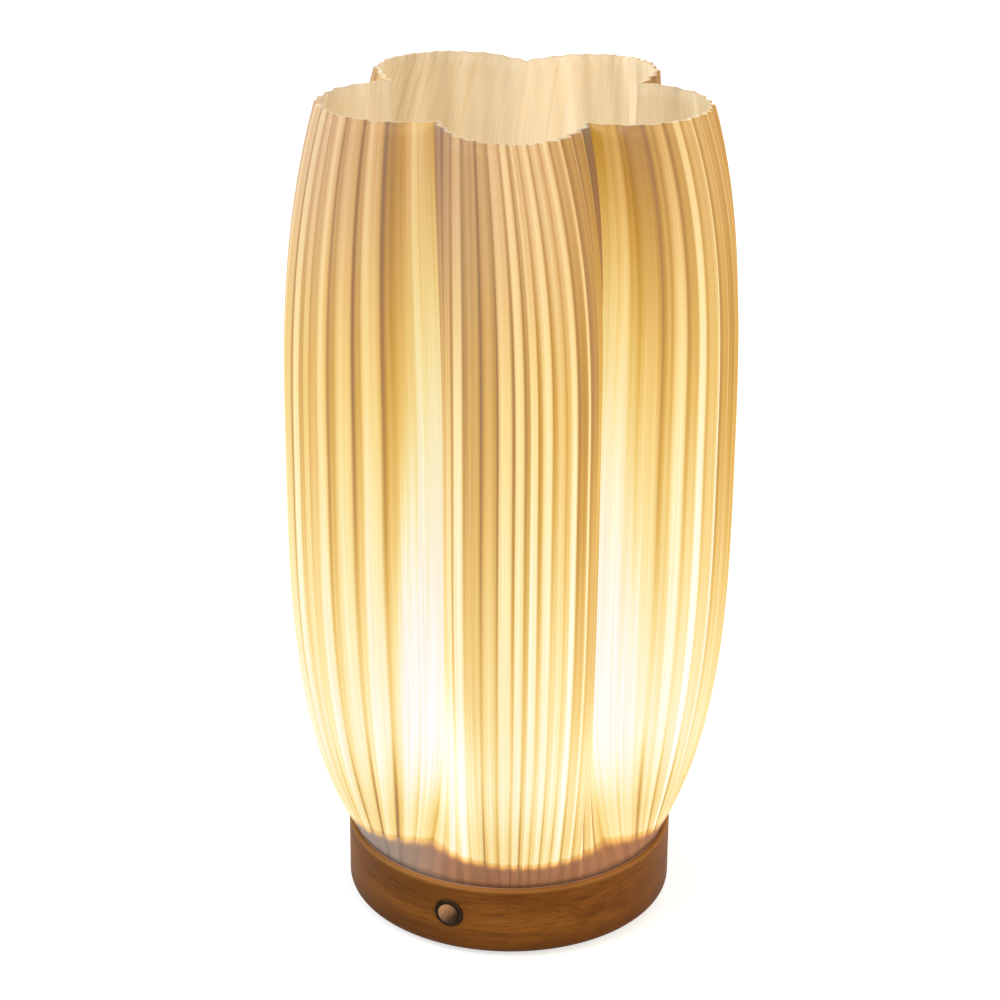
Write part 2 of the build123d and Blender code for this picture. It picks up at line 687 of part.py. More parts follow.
with BuildPart() as button_cap:
    with BuildSketch(button_section):
        with BuildLine():
            SagittaArc((cap_radius, cap_front), (-cap_radius, cap_front), CAP_CROWN)
            Polyline(
                (-cap_radius, cap_front),
                (-cap_radius, cap_back),
                (cap_radius, cap_back),
                (cap_radius, cap_front),
            )
        make_face()
        split(bisect_by=Plane.YZ, keep=Keep.TOP)
    revolve(axis=button_axis)
    with BuildSketch(button_plane.offset(cap_back)):
        Circle(STEM_RADIUS)
    extrude(amount=stem_end - cap_back)

spring_length = BORE_DEPTH - cap_back - 2 * SPRING_WIRE_RADIUS - 2 * SPRING_CLEARANCE
spring_start = cap_back + SPRING_WIRE_RADIUS + SPRING_CLEARANCE
spring_path = Helix(
    pitch=spring_length / SPRING_TURNS,
    height=spring_length,
    radius=SPRING_RADIUS,
    center=(0, spring_start - BASE_RADIUS, button_level),
    direction=(0, 1, 0),
)
with BuildPart() as button_spring:
    with BuildSketch(Plane(spring_path @ 0, z_dir=spring_path % 0)):
        RegularPolygon(SPRING_WIRE_RADIUS, SPRING_WIRE_SIDES)
    sweep(path=spring_path, is_frenet=True)

with BuildPart() as switch_body:
    with BuildSketch(button_section):
        with BuildLine():
            Polyline(
                (0, guide_back + CAP_TRAVEL + 2 * STEM_REACH),
                (SWITCH_WELL_RADIUS, guide_back + CAP_TRAVEL + 2 * STEM_REACH),
                (SWITCH_WELL_RADIUS, guide_back),
                (switch_radius, guide_back),
                (switch_radius, barrel_back),
                (BARREL_RADIUS, barrel_back),
                (BARREL_RADIUS, barrel_back + SWITCH_LIP),
                (0, barrel_back + SWITCH_LIP),
                close=True,
            )
        make_face()
    revolve(axis=button_axis)
    with BuildSketch(button_plane.offset(barrel_back + SWITCH_LIP)):
        with GridLocations(PIN_SPACING, 0, 2, 1):
            Circle(PIN_RADIUS)
    extrude(amount=PIN_LENGTH)


# Inner leads: straight runs joined by arcs as wide as the runs allow
def bend_radii(points):
    corners = [Vector(point) for point in points]
    radii = []
    for before, corner, after in zip(corners, corners[1:], corners[2:]):
        turn = radians((corner - before).get_angle(after - corner))
        shorter = min((corner - before).length, (after - corner).length)
        radii.append(0.45 * shorter / tan(turn / 2))
    return radii


def lead(points):
    radii = bend_radii(points)
    print("lead bend radii", [round(radius, 1) for radius in radii])
    with BuildLine() as route:
        FilletPolyline(*points, radius=radii)
    with BuildSketch(Plane(route.line @ 0, z_dir=route.line % 0)) as section:
        RegularPolygon(LEAD_RADIUS, LEAD_SIDES)
    sweep(sections=section.sketch, path=route.line)


def between(start, end, share):
    return start + (end - start) * share


pin_tip = barrel_back + SWITCH_LIP + PIN_LENGTH - BASE_RADIUS
landing_x = DRIVER_WIDTH / 2 - LEAD_INSET
landing_y = driver_front + LEAD_LANDING

with BuildPart() as switch_leads:
    for side in (-1, 1):
        pin_x = side * PIN_SPACING / 2
        lead(
            [
                (pin_x, pin_tip, button_level),
                (pin_x, between(pin_tip, landing_y, 0.08), button_level),
                (pin_x + landing_x * 0.7, between(pin_tip, landing_y, 0.24), lead_level),
                (pin_x + landing_x * 1.15, between(pin_tip, landing_y, 0.45), lead_level),
                (pin_x + landing_x * 1.15, between(pin_tip, landing_y, 0.75), lead_level),
                (pin_x + landing_x, landing_y, lead_level),
                (pin_x + landing_x, landing_y, driver_top),
            ]
        )

led_pad_circle = BOARD_HOLE_RADIUS + LED_PAD_INSET
with BuildPart() as led_leads:
    for side in (-1, 1):
        lead_x = side * LEAD_SPACING / 2
        pad_x = side * led_pad_circle
        lead(
            [
                (lead_x - landing_x, landing_y, driver_top),
                (lead_x - landing_x, landing_y, lead_level),
                (lead_x - landing_x * 0.6, landing_y * 0.45, lead_level),
                (lead_x, 0, lead_level + LEAD_LIFT),
                (lead_x, 0, board_top + LED_LOOP_RISE / 2),
                (between(lead_x, pad_x, 0.25), 0, board_top + LED_LOOP_RISE),
                (between(lead_x, pad_x, 0.75), 0, board_top + LED_LOOP_RISE),
                (pad_x, 0, board_top + LED_LOOP_RISE / 2),
                (pad_x, 0, board_top),
            ]
        )

tab_level = cell_top - TAB_DROP
arch_level = driver_top + BATTERY_LEAD_RISE
battery_landing_x = DRIVER_WIDTH / 2 - BATTERY_LEAD_INSET
with BuildPart() as battery_leads:
    for number in range(2):
        tab_x = CELL_LENGTH / 2 - TAB_INSET - (1 - number) * LEAD_SPACING
        battery_landing_y = driver_front + BATTERY_LANDING + number * LEAD_SPACING
        lead(
            [
                (tab_x, cell_back, tab_level),
                (tab_x, between(cell_back, battery_landing_y, 0.4), tab_level),
                (
                    between(tab_x, battery_landing_x, 0.5),
                    between(cell_back, battery_landing_y, 0.82),
                    arch_level,
                ),
                (battery_landing_x, battery_landing_y, arch_level),
                (battery_landing_x, battery_landing_y, driver_top),
            ]
        )

pieces = {
    "shade": shade.part,
    "light_pan": light_pan.part,
    "grip_ring": grip_ring.part,
    "diffuser": diffuser.part,
    "led_board": led_board.part,
    "led_chips": led_chips.part,
    "led_screws": led_screws.part,
    "pan_screws": pan_screws.part,
    "base_body": base_body.part,
    "bottom_cover": bottom_cover.part,
    "cover_screws": cover_screws.part,
    "foot_pad": foot_pad.part,
    "battery_tape": battery_tape.part,
    "battery_cell": battery_cell.part,
    "battery_leads": battery_leads.part,
    "driver_board": driver_board.part,
    "driver_screws": driver_screws.part,
    "driver_chips": driver_chips.part,
    "usb_shell": usb_shell.part,
    "usb_tongue": usb_tongue.part,
    "button_bezel": button_bezel.part,
    "button_nut": button_nut.part,
    "button_cap": button_cap.part,
    "button_spring": button_spring.part,
    "switch_body": switch_body.part,
    "switch_leads": switch_leads.part,
    "led_leads": led_leads.part,
}

os.makedirs("parts", exist_ok=True)
for name, piece in pieces.items():
    piece.label = name
    export_step(piece, f"parts/{name}.step")
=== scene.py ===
import json
from math import cos, pi, radians, sin

import bpy
import numpy as np
from mathutils import Matrix, Vector


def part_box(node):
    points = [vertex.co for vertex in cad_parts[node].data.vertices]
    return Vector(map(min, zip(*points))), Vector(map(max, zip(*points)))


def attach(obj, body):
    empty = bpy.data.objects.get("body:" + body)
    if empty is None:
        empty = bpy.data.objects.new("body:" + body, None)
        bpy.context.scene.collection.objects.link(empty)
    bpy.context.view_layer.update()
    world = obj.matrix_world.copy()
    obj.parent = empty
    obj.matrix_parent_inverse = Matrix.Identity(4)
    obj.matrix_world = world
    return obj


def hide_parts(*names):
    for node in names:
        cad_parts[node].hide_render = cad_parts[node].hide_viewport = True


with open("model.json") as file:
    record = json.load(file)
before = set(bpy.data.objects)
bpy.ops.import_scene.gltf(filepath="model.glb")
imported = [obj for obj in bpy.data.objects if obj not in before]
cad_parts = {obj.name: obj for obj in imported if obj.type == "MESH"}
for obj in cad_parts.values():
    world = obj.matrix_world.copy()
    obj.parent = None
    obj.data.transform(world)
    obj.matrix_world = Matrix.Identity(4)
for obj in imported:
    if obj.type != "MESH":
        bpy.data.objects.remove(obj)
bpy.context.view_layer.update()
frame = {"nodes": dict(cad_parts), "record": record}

# Looks of a cordless table lamp: a lit, pleated, five-lobed shade on a round wooden base.
# Sizes are in millimetres unless a name says otherwise, and the frame is in metres.
# Colours are in linear light. Angles round the lamp run from the front (-Y) towards +X.
# A level is a height above the table, and fullness is 0 in a notch and 1 on the crest of a lobe.
# A list for the lobes starts at the front lobe and goes on to the right.
MM = 0.001

# Camera, as fitted to the photograph
CAMERA_AZIMUTH = radians(21.25)
CAMERA_PITCH = radians(22.61)
CAMERA_ROLL = radians(0.344)
CAMERA_DISTANCE = 729.3
CAMERA_SIDESTEP = -3.5
CAMERA_HEIGHT = 431.8
CAMERA_LENS = 95.26
CAMERA_SENSOR = 36.0

# Form of the shade, with heights measured from the top of the wood
SHADE_WALL = 1.4
SHADE_START_RADIUS = 48.0
FOOT_RING_RADIUS = 48.2
FOOT_RING_BORE = 46.4
BELLY_HEIGHT = 128.0
BELLY_RADIUS = 67.2
RIM_RADIUS = 56.7
CREST_FOOT_POWER = 3.25
CREST_RIM_POWER = 2.9
LOBES = 5
LOBE_DEPTH = 33.0
RIM_LOBE_DEPTH = 17.7
LOBE_FOOT_POWER = 4.0
LOBE_RIM_POWER = 2.1
LOBE_TURN = radians(25.25)
LOBE_FULLNESS = 0.95
LOBE_UNEVENNESS = 0.05
LOBE_UNEVENNESS_TURN = radians(-45)
MOUTH_POWER = 3.0
MOUTH_TURNS = np.radians([-1.5, -9.5, -2.5, -9.0, -7.0])
PLEATS = 75
PLEAT_DEPTH = 1.6
PLEAT_VARIATION = 0.35
PLEAT_VARIATION_RATE = 1.9
PLEAT_FADE = 30.0
PLEAT_CROWDING = 0.35
PLEAT_SKEW = 0.2
PLEAT_WANDER = 0.3
PLEAT_WANDER_RATE = 2.7
FOLD_ROUNDING = 0.55
COLUMNS_PER_FACET = 6

# Light through the wall; a pair of lights is for the left and the right hand, seen from the front
LIGHT_LEVEL = 27.0
NOTCH_LIGHTS = (305.0, 200.0)
CREST_LIGHT = 116.0
FRONT_NOTCH_LIGHTS = (76.0, 66.0)
FRONT_CREST_LIGHTS = (87.0, 148.0)
FRONT_NOTCH_LEVELS = (38.0, 98.0)
LOBE_LIGHT = np.array([1.0, 1.42, 1.22, 1.13, 1.08])
HAND_CHANGE = 0.3
LOWER_LEVELS = (80.0, 185.0)
LOWER_GAIN = 0.25

# Fullness where the light of a notch starts and ends its change to that of a crest.
# Lower down both move by a shift.
FLANK_START = 0.25
FLANK_END = 0.41
FLANK_START_SHIFT = 0.13
FLANK_END_SHIFT = 0.09
FRONT_FLANK_END_SHIFT = 0.66

# Colour of light that has come through: each channel fills up at its own rate.
RED_RATE = 2.35
GREEN_RATE = 1.08
DIM_BLUE_RATE = 0.06
BRIGHT_BLUE_RATE = 0.22
BRIGHT_BLUE_POWER = 1.6

# Dimmer notches near the rim
RIM_DIM_LEVELS = (140.0, 262.0)
RIM_DIMNESS = (0.57, 0.76)
RIM_DIM_POWER = 2.5
FRONT_RIM_DIMNESS = 0.84
FRONT_RIM_LEVELS = (200.0, 258.0)
FRONT_RIM_GAIN = 0.10

# Dimmer foot, as pairs for a notch and for a crest
FOOT_LIGHTS = (0.12, 0.50)
FOOT_START_LEVELS = (38.0, 36.0)
FOOT_END_LEVELS = (82.0, 68.0)

# Line between the lit wall and the band that the pan hides
LIGHT_LINE_RISE = -3.4
LIGHT_LINE_WAVE = 5.0
LIGHT_LINE_TURN = radians(10)
LIGHT_LINE_BACK = 0.2
LIT_EDGE = (-0.3, 1.2)
FRINGE_HEIGHT = 4.3
FRINGE_DROP = 2.7
FRINGE_POWER = 3

# Tones of the pleats, as powers of e: painted light and shade in the glow through the wall, and in the
# band that the pan hides
PLEAT_SEED = 5236
BRIGHT_FLAT = 0.48
DIM_FLAT = -0.78
FLAT_CHANCE = 0.45
CREASE_DEPTH = 0.6
VALLEY_LINE_DEPTHS = (0.25, 1.2)
VALLEY_LINE_WIDTH = 0.17
TONE_DRIFT = 0.12
TONE_DRIFT_HEIGHT = 47.0
TONE_DRIFT_STEP = 2.1

# Where the pleats show more or less
LOBE_CONTRAST = np.array([1.0, 1.1, 0.9, 0.8, 0.7])
LEAST_CONTRAST = 0.16
PLEAT_FULLNESS = (0.2, 0.92)
FRONT_PLEAT_FULLNESS = (0.0, 0.5)
FOOT_CONTRAST = 0.5
FOOT_CONTRAST_HEIGHTS = (8.0, 120.0)
NEAR_RIM_LEVELS = (170.0, 250.0)
RIM_CONTRAST_LOSS = 0.42
FRONT_RIM_CONTRAST_LOSS = 0.13
CREASE_CONTRAST = 0.8
CREASE_CONTRAST_LOSS = 0.25
LINE_CONTRASTS = (1.5, 0.55)
LINE_FOOT_LEVELS = (42.0, 75.0)
LINE_UPPER_GAIN = 0.45
LINE_UPPER_LEVELS = (90.0, 150.0)
LINE_NOTCH_CONTRAST = 0.55
LINE_FULLNESS = (0.1, 0.5)
LINE_RIM_LOSS = 0.25

# Colours of the wall in the light of the room, with painted light: the band that the pan hides has a
# painted shade of brown or grey, and painted room light makes the wall paler near the rim and on the
# front's left flank.
AMBIENT_LEVEL = 0.8
LIT_TINT = np.array([0.24, 0.18, 0.10])
UNLIT_TINT = np.array([0.44, 0.21, 0.11])
UNLIT_GREY = np.array([0.40, 0.335, 0.30])
UNLIT_GREY_TURN = radians(-55)
UNLIT_GREY_SPAN = (0.5, 1.0)
UNLIT_FOLD = 0.14
SEAT_SHADOW = 0.15
SEAT_SHADOW_HEIGHT = 1.8
PALE_COLOUR = np.array([0.0, 0.025, 0.11])
PALE_DEPTH = 80.0
PALE_NOTCH = 0.35
PALE_SIDE = 0.35
PALE_RIM_GAIN = 1.7
PALE_CREST_GAIN = 0.12
PALE_EXPOSURE = 1.6
PALE_FLANK_GAIN = 0.85
PALE_FLANK_LEVELS = (90.0, 160.0)

# Inside of the wall, in painted light: the two lobes at the back are pale, with a browner, dimmer part
# between them
INSIDE_TINT = np.array([0.30, 0.25, 0.18])
INSIDE_COLOUR = np.array([1.0, 0.84, 0.58])
INSIDE_COLOUR_POWERS = np.array([1.0, 1.15, 1.4])
INSIDE_LIGHT = 0.56
INSIDE_NEAR_LIGHT = 49.0
INSIDE_FOLD = 0.45
INSIDE_FOLD_REACH = 6
INSIDE_PALE_TONE = 0.19
INSIDE_BROWN_TONE = -0.08
INSIDE_BROWN_TURN = LOBE_TURN + pi + radians(14)
INSIDE_BROWN_SPAN = (radians(14), radians(40))
INSIDE_LEFT_TONE = -0.10
INSIDE_LIT_EDGE = (-1.0, 2.0)
BACK_LOBES = (2, 3)
LEFT_LOBE = 4

# Wood, measured down from its top
# How far down the top edge the painted glow of the lamp reaches
WOOD_GLOW_EDGE = 1.3
WOOD_FOOT_START = 14.0
WOOD_FOOT_DARK = 22.0

# Fine streaks along the pleats, in cycles for a unit of each coordinate
STREAK_RATES = (175.0, 175.0, 1.2)
STREAK_HEIGHT_UNIT = 100.0
STREAK_DARK = (0.95, 0.88, 0.76)
STREAK_LIGHT = (1.02, 1.05, 1.12)

# Stage
FLOOR_HALF_M = 6.0
FLOOR_GLOW = 0.64
FAR_FLOOR_GLOW = 0.80
NEAR_FLOOR_M = 0.4
FAR_FLOOR_M = 2.2
WORLD_AMBIENT = 0.38
LIGHT_AIM_M = Vector((0, 0, 0.12))

base_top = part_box("base_body")[1].z / MM
seat_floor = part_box("shade")[0].z / MM
shade_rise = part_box("shade")[1].z / MM - base_top
pan_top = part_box("light_pan")[1].z / MM


# Node materials
class Nodes:
    """Adds nodes to one material; an input is a value or another node's output."""

    def __init__(self, tree):
        self.tree = tree

    def add(self, kind, inputs=(), output=0, **settings):
        node = self.tree.nodes.new(kind)
        for name, value in settings.items():
            setattr(node, name, value)
        for socket, value in dict(inputs).items():
            if isinstance(value, bpy.types.NodeSocket):
                self.tree.links.new(value, node.inputs[socket])
            else:
                node.inputs[socket].default_value = value
        return node.outputs[output]

    def place(self, scale, location=(0, 0, 0), source=None):
        """The piece's own coordinates, in metres, or a source's, times a scale for each axis."""
        coordinates = source or self.add("ShaderNodeTexCoord", output=3)
        inputs = {"Vector": coordinates, "Scale": scale, "Location": location}
        return self.add("ShaderNodeMapping", inputs)

    def noise(self, scale, detail=3.0, roughness=0.5, distortion=0.0, location=(0, 0, 0), source=None):
        inputs = {
            "Vector": self.place(scale, location, source),
            "Scale": 1.0,
            "Detail": detail,
            "Roughness": roughness,
            "Distortion": distortion,
        }
        return self.add("ShaderNodeTexNoise", inputs)

    def span(self, value, low, high, start=0.3, end=0.7):
        """Maps start..end of a value onto low..high."""
        inputs = {0: value, 1: start, 2: end, 3: low, 4: high}
        return self.add("ShaderNodeMapRange", inputs)

    def math(self, operation, first, second):
        return self.add("ShaderNodeMath", {0: first, 1: second}, operation=operation)

    def mix(self, factor, first, second, mode="MIX"):
        """Mixes two colours, each a plain colour or another node's output."""
        node = self.tree.nodes.new("ShaderNodeMix")
        node.data_type = "RGBA"
        node.blend_type = mode
        factor_socket, first_socket, second_socket = (node.inputs[number] for number in (0, 6, 7))
        if isinstance(factor, bpy.types.NodeSocket):
            self.tree.links.new(factor, factor_socket)
        else:
            factor_socket.default_value = factor
        for socket, colour in ((first_socket, first), (second_socket, second)):
            if isinstance(colour, bpy.types.NodeSocket):
                self.tree.links.new(colour, socket)
            else:
                socket.default_value = (*colour, 1)
        return node.outputs[2]

    def bump(self, height, distance, strength=1.0):
        inputs = {"Height": height, "Distance": distance * MM, "Strength": strength}
        return self.add("ShaderNodeBump", inputs)

    def feed(self, shader, **links):
        for name, value in links.items():
            self.tree.links.new(value, shader.inputs[name.replace("_", " ")])


def new_material(name, **values):
    """A principled material with plain values on its own sockets."""
    made = bpy.data.materials.new(name)
    made.use_nodes = True
    shader = made.node_tree.nodes["Principled BSDF"]
    for socket, value in values.items():
        shader.inputs[socket.replace("_", " ")].default_value = value
    return made, Nodes(made.node_tree), shader


def grained(name, dark, light, grain, roughness, bump, **values):
    """Two tones by noise; grain is the size of a speck along each axis, in millimetres."""
    made, nodes, shader = new_material(name, **values)
    scale = tuple(1 / (size * MM) for size in grain)
    fine = nodes.noise(scale, detail=4.0)
    coarse = nodes.noise(tuple(factor / 9 for factor in scale), detail=2.0, location=(3, 5, 7))
    both = nodes.math("ADD", nodes.math("MULTIPLY", fine, 0.6), nodes.math("MULTIPLY", coarse, 0.4))
    nodes.feed(
        shader,
        Base_Color=nodes.mix(nodes.span(both, 0.0, 1.0, 0.35, 0.65), dark, light),
        Roughness=nodes.span(coarse, *roughness),
        Normal=nodes.bump(fine, bump),
    )
    return made


# Shade
def bulge(height, foot, belly, rim, foot_power, rim_power):
    """A value that runs from foot to belly and on to rim as the height grows."""
    below = np.clip(1 - height / BELLY_HEIGHT, 0, 1)
    above = np.clip((height - BELLY_HEIGHT) / (shade_rise - BELLY_HEIGHT), 0, 1)
    return belly - (belly - foot) * below**foot_power - (belly - rim) * above**rim_power


def crest_radius(height):
    return bulge(
        height, SHADE_START_RADIUS, BELLY_RADIUS, RIM_RADIUS, CREST_FOOT_POWER, CREST_RIM_POWER
    )


def notch_radius(height):
    depth = bulge(height, 0, LOBE_DEPTH, RIM_LOBE_DEPTH, LOBE_FOOT_POWER, LOBE_RIM_POWER)
    return crest_radius(height) - depth


def lobe_fullness(angle):
    """0 in a notch between two lobes and 1 on the crest of a lobe."""
    return np.abs(np.cos(LOBES / 2 * (angle - LOBE_TURN))) ** LOBE_FULLNESS


def mouth_turn(angle):
    """How far the wall turns by the rim: a few degrees of its own at each notch, and smooth between."""
    place = (angle - LOBE_TURN) * LOBES / (2 * pi) + 0.5
    notch = np.floor(place).astype(int)
    before = MOUTH_TURNS[notch % LOBES]
    after = MOUTH_TURNS[(notch + 1) % LOBES]
    return blend(before, after, smooth_step(0, 1, place - notch))


def lobe_points(angle, height):
    mouth = np.clip((height - BELLY_HEIGHT) / (shade_rise - BELLY_HEIGHT), 0, 1) ** MOUTH_POWER
    notch = notch_radius(height)
    uneven = 1 + LOBE_UNEVENNESS * (1 - mouth) * np.cos(angle - LOBE_UNEVENNESS_TURN)
    radius = notch + (crest_radius(height) - notch) * lobe_fullness(angle) * uneven
    turned = angle + mouth * mouth_turn(angle)
    return np.stack([radius * np.sin(turned), -radius * np.cos(turned)], axis=-1)


def lobe_normals(angle, height):
    step = radians(0.1)
    along = lobe_points(angle + step, height) - lobe_points(angle - step, height)
    normal = np.stack([along[..., 1], -along[..., 0]], axis=-1)
    return normal / np.linalg.norm(normal, axis=-1, keepdims=True)


def fold_angle(fold):
    """Folds crowd on the crests, spread in the notches and wander a little between the notches."""
    half_pleat = pi / PLEATS
    looseness = np.abs(np.cos(LOBES / 2 * half_pleat * fold))
    wander = PLEAT_WANDER * np.sin(PLEAT_WANDER_RATE * (fold % (2 * PLEATS)))
    wander = PLEAT_SKEW * (fold % 2) + wander
    even = half_pleat * (fold + looseness * wander)
    return LOBE_TURN + even - PLEAT_CROWDING * np.sin(LOBES * even) / LOBES


def fold_offset(fold):
    """How far a ridge (even) stands out, or a valley (odd) lies in."""
    variation = PLEAT_VARIATION * (np.sin(PLEAT_VARIATION_RATE * (fold % (2 * PLEATS))) - 1)
    return (0.5 - fold % 2) * PLEAT_DEPTH * (1 + variation)


def smooth_step(low, high, value):
    share = np.clip((value - low) / (high - low), 0, 1)
    return share * share * (3 - 2 * share)


def blend(first, second, share):
    return first + (second - first) * share


# Columns run round the shade, several to each flat of a pleat.
column = np.arange(2 * PLEATS * COLUMNS_PER_FACET)
facet = column // COLUMNS_PER_FACET
facet_share = (column % COLUMNS_PER_FACET) / COLUMNS_PER_FACET
rounded_share = blend(facet_share, smooth_step(0, 1, facet_share), FOLD_ROUNDING)
column_angle = blend(fold_angle(facet), fold_angle(facet + 1), facet_share)
column_offset = blend(fold_offset(facet), fold_offset(facet + 1), rounded_share)
column_fullness = lobe_fullness(column_angle)
lobe_number = np.round((column_angle - LOBE_TURN) * LOBES / (2 * pi)).astype(int) % LOBES
in_front = lobe_number == 0
right_hand = smooth_step(-HAND_CHANGE, HAND_CHANGE, np.sin(column_angle - LOBE_TURN))

# Rows are close together where the light line crosses the foot of the shade.
row_height = np.concatenate(
    [
        np.linspace(0, 2, 3),
        np.linspace(2.6, 13, 24),
        np.linspace(15, 42, 14),
        np.linspace(46, shade_rise, 44),
    ]
)[:, None]


def shade_wall(inset):
    """Rows of points up the wall, which lies inset from the outside of the shade."""
    fade = 1 - np.clip(1 - row_height / PLEAT_FADE, 0, 1) ** 2
    reach = column_offset * fade - inset
    flat = lobe_points(column_angle, row_height)
    flat = flat + lobe_normals(column_angle, row_height) * reach[..., None]
    level = np.broadcast_to(base_top + row_height, reach.shape)
    return np.concatenate([flat, level[..., None]], axis=-1)


def shade_ring(radius, level):
    """One round row of points."""
    x = radius * np.sin(column_angle)
    y = -radius * np.cos(column_angle)
    return np.stack([x, y, np.full_like(x, level)], axis=-1)[None]


def pleat_tones():
    """Tone of each column, with 0 for plain, its faint crease, and the thin dark line in each valley."""
    random = np.random.default_rng(PLEAT_SEED)
    count = 2 * PLEATS
    facing = np.where(np.arange(count) % 2 == 0, BRIGHT_FLAT, DIM_FLAT)
    # The flats of each lobe draw the same spread of tones, in an order of their own.
    spread = np.linspace(-1, 1, PLEATS // LOBES)
    draws = [random.permutation(spread) for draw in range(2 * LOBES)]
    chance = np.stack(draws).reshape(LOBES, 2, -1).transpose(0, 2, 1).ravel()
    tone = facing + FLAT_CHANCE * np.roll(chance, -PLEATS // LOBES)
    # The column on a fold has the mean tone of its two flats.
    before = tone[(facet - 1) % count]
    mixed = np.where(facet_share == 0, (tone[facet] + before) / 2, tone[facet])
    crease = random.uniform(-CREASE_DEPTH, CREASE_DEPTH, len(column))
    crease = crease / 2 + (np.roll(crease, 1) + np.roll(crease, -1)) / 4
    to_valley = np.where(facet % 2 == 0, 1 - facet_share, facet_share)
    depth = random.uniform(*VALLEY_LINE_DEPTHS, PLEATS)[facet // 2]
    return mixed, crease, depth * np.exp(-((to_valley / VALLEY_LINE_WIDTH) ** 2))


def glow_colour(exposure):
    """Colour of light that has come through the wall, from dim orange to nearly white."""
    red = 1 - np.exp(-RED_RATE * exposure)
    green = 1 - np.exp(-GREEN_RATE * exposure)
    bright_blue = BRIGHT_BLUE_RATE * exposure**BRIGHT_BLUE_POWER
    blue = 1 - np.exp(-DIM_BLUE_RATE * np.minimum(exposure, 1) - bright_blue)
    return np.stack([red, green, blue], axis=-1)


def plain_exposure(level):
    """How much light comes through a plain wall: most in the notches, and less on the crests."""
    full = column_fullness
    notch_light = blend(*NOTCH_LIGHTS, right_hand)
    front_light = blend(*FRONT_NOTCH_LIGHTS, right_hand)
    front_light = blend(notch_light, front_light, smooth_step(*FRONT_NOTCH_LEVELS, level))
    side_light = np.where(in_front, front_light, notch_light)
    crest_light = np.where(in_front, blend(*FRONT_CREST_LIGHTS, right_hand), CREST_LIGHT)
    lower = 1 - smooth_step(*LOWER_LEVELS, level)
    flank_start = FLANK_START + FLANK_START_SHIFT * lower
    flank_end = FLANK_END + np.where(in_front, FRONT_FLANK_END_SHIFT, FLANK_END_SHIFT) * lower
    through = blend(side_light, crest_light, smooth_step(flank_start, flank_end, full))
    through = through * LOBE_LIGHT[lobe_number]
    wall_radius = np.linalg.norm(lobe_points(column_angle, row_height), axis=-1)
    exposure = (1 + LOWER_GAIN * lower) * through / np.hypot(wall_radius, level - LIGHT_LEVEL)
    # The notches dim towards the rim, and the foot is below the brightest part of the light.
    rim_dimness = blend(*RIM_DIMNESS, right_hand) * (1 - full**RIM_DIM_POWER)
    rim_dimness = rim_dimness * np.where(in_front, FRONT_RIM_DIMNESS, 1)
    exposure = exposure * (1 - rim_dimness * smooth_step(*RIM_DIM_LEVELS, level))
    exposure = exposure * (1 + FRONT_RIM_GAIN * in_front * smooth_step(*FRONT_RIM_LEVELS, level))
    foot_start = blend(*FOOT_START_LEVELS, full)
    foot_end = blend(*FOOT_END_LEVELS, full)
    above_foot = smooth_step(foot_start, foot_end, level)
    return exposure * blend(blend(*FOOT_LIGHTS, full), 1.0, above_foot)


def fold_tones(level, tone, crease, valley_line):
    """How much the pleats brighten or darken each point, as a power of e."""
    # Pleats show on the lobes and fade in the notches, towards the foot and near the rim.
    full = column_fullness
    near_rim = smooth_step(*NEAR_RIM_LEVELS, level)
    side_share = smooth_step(*PLEAT_FULLNESS, full)
    front_share = smooth_step(*FRONT_PLEAT_FULLNESS, full)
    contrast = blend(LEAST_CONTRAST, 1, np.where(in_front, front_share, side_share))
    contrast = contrast * LOBE_CONTRAST[lobe_number]
    upright = blend(FOOT_CONTRAST, 1, smooth_step(*FOOT_CONTRAST_HEIGHTS, row_height))
    rim_loss = RIM_CONTRAST_LOSS + FRONT_RIM_CONTRAST_LOSS * in_front
    contrast = contrast * (upright - rim_loss * near_rim)
    drift = TONE_DRIFT * np.sin(row_height / TONE_DRIFT_HEIGHT + TONE_DRIFT_STEP * facet)
    line_contrast = blend(*LINE_CONTRASTS, smooth_step(*LINE_FOOT_LEVELS, level))
    line_contrast = line_contrast + LINE_UPPER_GAIN * smooth_step(*LINE_UPPER_LEVELS, level)
    line_contrast = line_contrast * blend(LINE_NOTCH_CONTRAST, 1, smooth_step(*LINE_FULLNESS, full))
    line_contrast = line_contrast / np.sqrt(LOBE_CONTRAST[lobe_number]) * (1 - LINE_RIM_LOSS * near_rim)
    creases = crease * (CREASE_CONTRAST - CREASE_CONTRAST_LOSS * contrast)
    return (tone + drift) * contrast + creases - valley_line * line_contrast


def unlit_tint(tone):
    """Colour of the band that the pan hides, as painted shade: brown or grey, with a painted shadow down
    in the seat.
    """
    # Painted room light: the band is grey on the side towards the left front, where the cool room light
    # falls, and brown where a little of the lamp's light leaks through
    greyness = smooth_step(*UNLIT_GREY_SPAN, np.cos(column_angle - UNLIT_GREY_TURN))
    tint = blend(UNLIT_TINT, UNLIT_GREY, greyness[:, None]) * np.exp(UNLIT_FOLD * tone)[:, None]
    shadow = blend(SEAT_SHADOW, 1.0, smooth_step(0, SEAT_SHADOW_HEIGHT, row_height))
    return tint * shadow[..., None]


def pale_light(level, exposure):
    """Light of the room on the lit wall."""
    full = column_fullness
    rim = smooth_step(shade_rise - PALE_DEPTH, shade_rise, row_height) * blend(PALE_NOTCH, 1, full)
    rim = rim * (1 - PALE_SIDE + PALE_SIDE * np.cos(column_angle - UNLIT_GREY_TURN))
    flank = in_front * (1 - right_hand) * (1 - full) * smooth_step(*PALE_FLANK_LEVELS, level)
    pale = (PALE_RIM_GAIN * rim + PALE_CREST_GAIN * full) * np.minimum(PALE_EXPOSURE * exposure, 1)
    return (pale + PALE_FLANK_GAIN * flank)[..., None] * PALE_COLOUR


